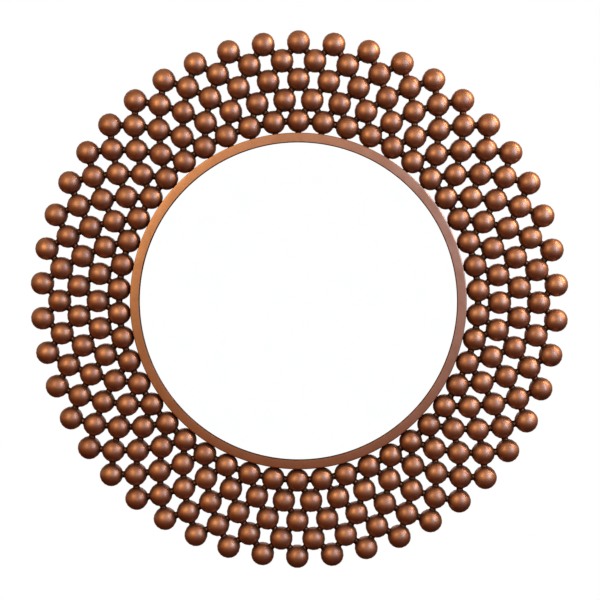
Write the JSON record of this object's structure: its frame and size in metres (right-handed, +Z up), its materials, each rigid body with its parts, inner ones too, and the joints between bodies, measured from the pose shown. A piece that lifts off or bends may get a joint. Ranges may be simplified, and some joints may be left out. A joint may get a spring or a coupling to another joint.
{
  "type": "round wall mirror",
  "caption": "Round wall mirror in a flat metal rim, framed by staggered courses of welded hollow metal beads, with swinging hanger rings on its back.",
  "frame": {"origin": "centre of the mirror, on the wall plane that the bumpers' rear faces lie on", "axes": "+X to the right as the mirror is looked at, +Z up, -Y out of the glass to the viewer, +Y into the wall"},
  "size_m": [0.9111, 0.043, 0.913],
  "materials": {
    "copper_lacquer": "satin copper-brown metallic lacquer on steel",
    "mirror_silver": "silvered float glass",
    "black_foam": "closed-cell foam strip",
    "corrugated_card": "brown corrugated card",
    "fibreboard": "smooth brown fibreboard",
    "zinc_plated_steel": "bright zinc plate",
    "nickel_plated_wire": "polished nickel plate",
    "black_rubber": "matt moulded rubber"
  },
  "bodies": {
    "mirror": {"backing_board": "fibreboard", "bead_course_1": "copper_lacquer", "bead_course_2": "copper_lacquer", "bead_course_3": "copper_lacquer", "bead_course_4": "copper_lacquer", "bead_course_5": "copper_lacquer", "bead_welds_1_1": "copper_lacquer", "bead_welds_1_2": "copper_lacquer", "bead_welds_2_3": "copper_lacquer", "bead_welds_3_4": "copper_lacquer", "bead_welds_4_5": "copper_lacquer", "clip_screws": "zinc_plated_steel", "filler_sheet": "corrugated_card", "glass_gasket": "black_foam", "hanger_screws": "zinc_plated_steel", "left_hanger_strap": "zinc_plated_steel", "mirror_glass": "mirror_silver", "retaining_clips": "zinc_plated_steel", "right_hanger_strap": "zinc_plated_steel", "rim_bead_welds": "copper_lacquer", "rim_face_ring": "copper_lacquer", "rim_hoop": "copper_lacquer", "wall_bumpers": "black_rubber"},
    "left_ring": {"left_hanger_ring": "nickel_plated_wire"},
    "right_ring": {"right_hanger_ring": "nickel_plated_wire"}
  },
  "joints": [
    {"name": "left_hanger_swing", "type": "hinge", "parent": "mirror", "child": "left_ring", "pos_m": [-0.15, -0.0072, 0.13], "axis": [1, 0, 0], "range_deg": [0, 180]},
    {"name": "right_hanger_swing", "type": "hinge", "parent": "mirror", "child": "right_ring", "pos_m": [0.15, -0.0072, 0.13], "axis": [1, 0, 0], "range_deg": [0, 180]}
  ]
}
